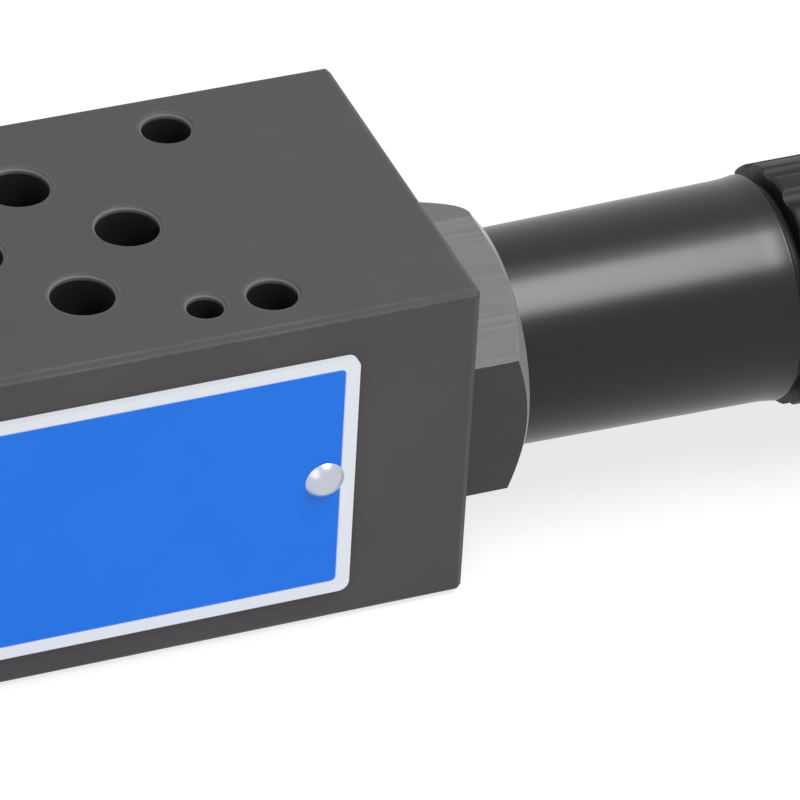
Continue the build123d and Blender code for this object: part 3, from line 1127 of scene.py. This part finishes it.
@dataclass
class KnobCap:
    """Pressed-in disc that closes the knob's end, dished, with a ring round its rim."""

    thickness: float = 2.0 * MM
    spigot_radius: float = 7.0 * MM
    spigot_wall: float = 1.2 * MM
    dish: float = 0.35 * MM
    dish_radius: float = 6.4 * MM
    ring_radius: float = 7.2 * MM
    ring_width: float = 0.5 * MM
    ring_depth: float = 0.25 * MM
    edge: float = 0.25 * MM
    points_round: int = 160
    # Nylon, moulded on a finer tool than the knob: black and a little glossier.
    nylon: MouldedPolymer = MouldedPolymer(
        "fine_moulded_black_nylon",
        "101011",
        0.36,
        1.53,
        grain_mm=0.3,
        grain_strength=0.15,
        specular=0.3,
        worn=0.12,
    )

    def build(self, axis: AdjusterAxis) -> bpy.types.Object:
        """Builds the cap in place of the CAD one.

        Args:
            axis: The adjuster's line.

        Returns:
            The cap.
        """
        low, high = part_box("knob_cap")
        outer = (high.z - low.z) / 2
        seat = high.x - self.thickness
        groove = high.x - self.ring_depth
        ring_end = self.ring_radius + self.ring_width
        dished = [
            (high.x - self.dish * (1 - share**2), self.dish_radius * share)
            for share in (0.0, 0.2, 0.4, 0.6, 0.8, 1.0)
        ]
        rim = rounded(
            [
                (high.x, self.ring_radius),
                (groove, self.ring_radius),
                (groove, ring_end),
                (high.x, ring_end),
                (high.x, outer),
                (seat, outer),
                (seat, self.spigot_radius),
                (low.x, self.spigot_radius),
                (low.x, self.spigot_radius - self.spigot_wall),
                (seat, self.spigot_radius - self.spigot_wall),
            ],
            self.edge,
        )
        cap = axis.turned("knob_end_cap", [(seat, 0), *dished, *rim], self.points_round)
        paint(cap, self.nylon.build())
        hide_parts("knob_cap")
        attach(cap, "adjuster")
        LOG.info("knob_end_cap: %d faces", len(cap.data.polygons))
        return cap


@dataclass
class Cartridge:
    """Screwed-in body with its outside hexagon."""

    flats: float = 30.0 * MM
    clocking_deg: float = 1.6
    chamfer_radius: float = 14.7 * MM
    chamfer_deg: float = 30.0
    corner_blend: float = 0.12 * MM
    # Steel hexagon bar, cold drawn, zinc plated and black passivated: a dark metal whose
    # flats turn light grey where they face the lamp.
    passivated: MachinedMetal = MachinedMetal(
        "black_passivated_drawn_steel",
        "424242",
        0.46,
        ToolMark.DRAWN,
        metallic=0.75,
        line_strength=0.12,
        rubbed="787878",
        # Painted highlight on the hexagon's end chamfer and end faces.
        painted_highlight_colour="A6A8A8",
    )

    def dress(self, nodes: dict[str, bpy.types.Object], axis: AdjusterAxis) -> None:
        """Paints the cartridge.

        Args:
            nodes: CAD nodes by name.
            axis: The adjuster's line.
        """
        paint(nodes["cartridge_body"], self.passivated.build(axis))
        LOG.info("cartridge_body: painted")


@dataclass
class Internals:
    """Hidden pieces: the throttle, its screw, the seals and the knob's fastening."""

    # Hardened steel, ground: cool grey and nearly mirror smooth.
    ground: MachinedMetal = MachinedMetal("ground_hardened_steel", "A3A4A8", 0.22, ToolMark.GROUND)
    # Free-cutting steel, turned: bright, with rings round the axis.
    turned: MachinedMetal = MachinedMetal("turned_bright_steel", "B4B5B8", 0.32, ToolMark.TURNED)
    # Spring steel, blackened: dark, with a low metal gloss.
    blackened: MachinedMetal = MachinedMetal(
        "blackened_spring_steel", "2C2C2E", 0.4, ToolMark.GROUND, metallic=0.6
    )
    # Brass, turned: warm yellow with rings round the axis.
    brass: MachinedMetal = MachinedMetal("turned_brass", "C9A55C", 0.3, ToolMark.TURNED)
    # Nitrile rubber, moulded: black with a soft sheen.
    rubber: MouldedPolymer = MouldedPolymer("moulded_seal_rubber", "1B1B1C", 0.5, 1.52)
    # Filled PTFE, cut from tube: off-white and waxy.
    ptfe: MouldedPolymer = MouldedPolymer("cut_filled_ptfe", "E2DED2", 0.4, 1.35)

    def dress(self, nodes: dict[str, bpy.types.Object], axis: AdjusterAxis) -> None:
        """Paints every hidden CAD node.

        Args:
            nodes: CAD nodes by name.
            axis: The adjuster's line.
        """
        finishes = {
            self.ground.build(axis): ("seat_bush", "throttle_spool"),
            self.turned.build(axis): ("adjusting_screw", "knob_washer"),
            self.blackened.build(axis): ("stop_ring", "knob_screw"),
            self.brass.build(axis): ("knob_insert",),
            self.rubber.build(): ("spool_seal", "nose_seal", "flange_seal", "hub_ring"),
            self.ptfe.build(): ("spool_backup_ring", "nose_backup_ring"),
        }
        for material, names in finishes.items():
            for name in names:
                paint(nodes[name], material)
                LOG.info("%s: painted", name)


# Studio


@dataclass(frozen=True)
class SoftLamp:
    """One rectangular soft lamp that looks at the object."""

    name: str
    towards: tuple[float, float, float]
    distance: float
    width: float
    depth: float
    watts: float

    def build(self, target: Vector) -> bpy.types.Object:
        """Hangs the lamp.

        Args:
            target: Point that the lamp faces.

        Returns:
            The lamp.
        """
        data = bpy.data.lights.new(self.name, "AREA")
        data.shape = "RECTANGLE"
        data.size = self.width
        data.size_y = self.depth
        data.energy = self.watts
        lamp = bpy.data.objects.new(self.name, data)
        way = Vector(self.towards).normalized()
        back = way
        right = Vector((1, 0, 0)) - back * back.x
        right.normalize()
        up = back.cross(right)
        lamp.matrix_world = Matrix.Translation(target + way * self.distance) @ Matrix(
            (right, up, back)
        ).transposed().to_4x4()
        lamp.visible_camera = False
        bpy.context.scene.collection.objects.link(lamp)
        return lamp


@dataclass
class Studio:
    """Pale floor, soft lamps, white surroundings and the camera."""

    floor_side: float = 6.0
    # Just under the block, so that the two faces don't fight.
    floor_height: float = -0.2 * MM
    floor_colour: str = "F2F2F2"
    shadow_share: float = 0.3
    ambient: float = 0.36
    camera_place: tuple[float, float, float] = (-194.37 * MM, -540.98 * MM, 440.89 * MM)
    camera_heading_deg: float = 23.66
    camera_dip_deg: float = 36.13
    camera_roll_deg: float = 3.44
    focal_px: float = 6634.4
    sensor: float = 36.0
    lamps: tuple[SoftLamp, ...] = (
        SoftLamp("key_lamp", (0.357, -0.273, 0.893), 0.9, 0.24, 0.55, 6.2),
        SoftLamp("back_lamp", (0.357, 0.12, 0.926), 0.9, 0.24, 0.3, 0.4),
        SoftLamp("fill_lamp", (-0.6, -0.7, 0.39), 1.1, 0.7, 0.7, 1.4),
    )

    def build(self) -> None:
        """Sets up floor, world, lamps and camera."""
        self._floor()
        self._world()
        low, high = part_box("valve_body")
        target = (low + high) / 2
        for lamp in self.lamps:
            lamp.build(target)
            LOG.info("%s: hung", lamp.name)
        self._camera()

    def _seen(self, tree: bpy.types.NodeTree) -> bpy.types.NodeSocket:
        """Gives 1 for rays that look at the surroundings: camera, gloss and glass."""
        path = add_node(tree, "LightPath")
        either = add_node(
            tree,
            "Math",
            {"operation": "MAXIMUM"},
            {0: path.outputs["Is Camera Ray"], 1: path.outputs["Is Glossy Ray"]},
        )
        return add_node(
            tree,
            "Math",
            {"operation": "MAXIMUM"},
            {0: either.outputs[0], 1: path.outputs["Is Transmission Ray"]},
        ).outputs[0]

    def _floor(self) -> None:
        """Lays a pale floor that shows white and still takes the object's shadow."""
        side = self.floor_side / 2
        mesh = bpy.data.meshes.new("pale_floor")
        height = self.floor_height
        corners = [(x * side, y * side, height) for x, y in ((-1, -1), (1, -1), (1, 1), (-1, 1))]
        mesh.from_pydata(corners, [], [(0, 1, 2, 3)])
        floor = bpy.data.objects.new("pale_floor", mesh)
        bpy.context.scene.collection.objects.link(floor)
        material = blank_material("pale_floor_paint")
        tree = material.node_tree
        colour = linear(self.floor_colour)
        matte = add_node(tree, "BsdfDiffuse", inputs={"Color": colour})
        grey = tuple(value * self.shadow_share for value in colour[:3]) + (1.0,)
        shaded = add_node(tree, "BsdfDiffuse", inputs={"Color": grey})
        glow = add_node(
            tree,
            "Emission",
            inputs={"Color": (1.0, 1.0, 1.0, 1.0), "Strength": 1 - self.shadow_share * 0.8},
        )
        shown = add_node(tree, "AddShader", inputs={0: shaded.outputs[0], 1: glow.outputs[0]})
        both = add_node(
            tree,
            "MixShader",
            inputs={0: self._seen(tree), 1: matte.outputs[0], 2: shown.outputs[0]},
        )
        clear = add_node(tree, "BsdfTransparent")
        beneath = add_node(tree, "NewGeometry").outputs["Backfacing"]
        one_sided = add_node(
            tree,
            "MixShader",
            inputs={0: beneath, 1: both.outputs[0], 2: clear.outputs[0]},
        )
        finish_surface(tree, one_sided.outputs[0])
        paint(floor, material)
        LOG.info("pale_floor: laid")

    def _world(self) -> None:
        """Surrounds the object with white to look at and a softer level of light."""
        world = bpy.data.worlds.new("white_surroundings")
        bpy.context.scene.world = world
        world.use_nodes = True
        tree = world.node_tree
        tree.nodes.clear()
        white = (1.0, 1.0, 1.0, 1.0)
        soft = add_node(tree, "Background", inputs={"Color": white, "Strength": self.ambient})
        shown = add_node(tree, "Background", inputs={"Color": white, "Strength": 1.0})
        both = add_node(
            tree,
            "MixShader",
            inputs={0: self._seen(tree), 1: soft.outputs[0], 2: shown.outputs[0]},
        )
        add_node(tree, "OutputWorld", inputs={"Surface": both.outputs[0]})

    def _camera(self) -> None:
        """Stands the camera where the photograph was taken, slightly rolled."""
        heading = math.radians(self.camera_heading_deg)
        dip = math.radians(self.camera_dip_deg)
        roll = math.radians(self.camera_roll_deg)
        forward = Vector(
            (
                math.sin(heading) * math.cos(dip),
                math.cos(heading) * math.cos(dip),
                -math.sin(dip),
            )
        )
        level = Vector((math.cos(heading), -math.sin(heading), 0))
        right = level * math.cos(roll) + level.cross(forward) * math.sin(roll)
        up = right.cross(forward)
        data = bpy.data.cameras.new("photograph_camera")
        data.sensor_width = self.sensor
        data.lens = self.focal_px / IMAGE_SIDE_PX * self.sensor
        data.clip_start = 0.01
        camera = bpy.data.objects.new("photograph_camera", data)
        turn = Matrix((right, up, -forward)).transposed().to_4x4()
        camera.matrix_world = Matrix.Translation(Vector(self.camera_place)) @ turn
        bpy.context.scene.collection.objects.link(camera)
        bpy.context.scene.camera = camera
        LOG.info("photograph_camera: lens %.1f mm", data.lens)


def main() -> None:
    """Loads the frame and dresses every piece."""
    logging.basicConfig(level=logging.INFO, format="%(name)s: %(message)s")
    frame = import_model()
    nodes = frame["nodes"]
    axis = AdjusterAxis.from_frame()
    PortedBlock().dress(nodes)
    NamePlate().dress(nodes, axis)
    Cartridge().dress(nodes, axis)
    Barrel().build(axis)
    Knob().build(axis)
    KnobCap().build(axis)
    Internals().dress(nodes, axis)
    Studio().build()
    bpy.context.scene.view_settings.view_transform = "Standard"


if __name__ == "__main__":
    main()
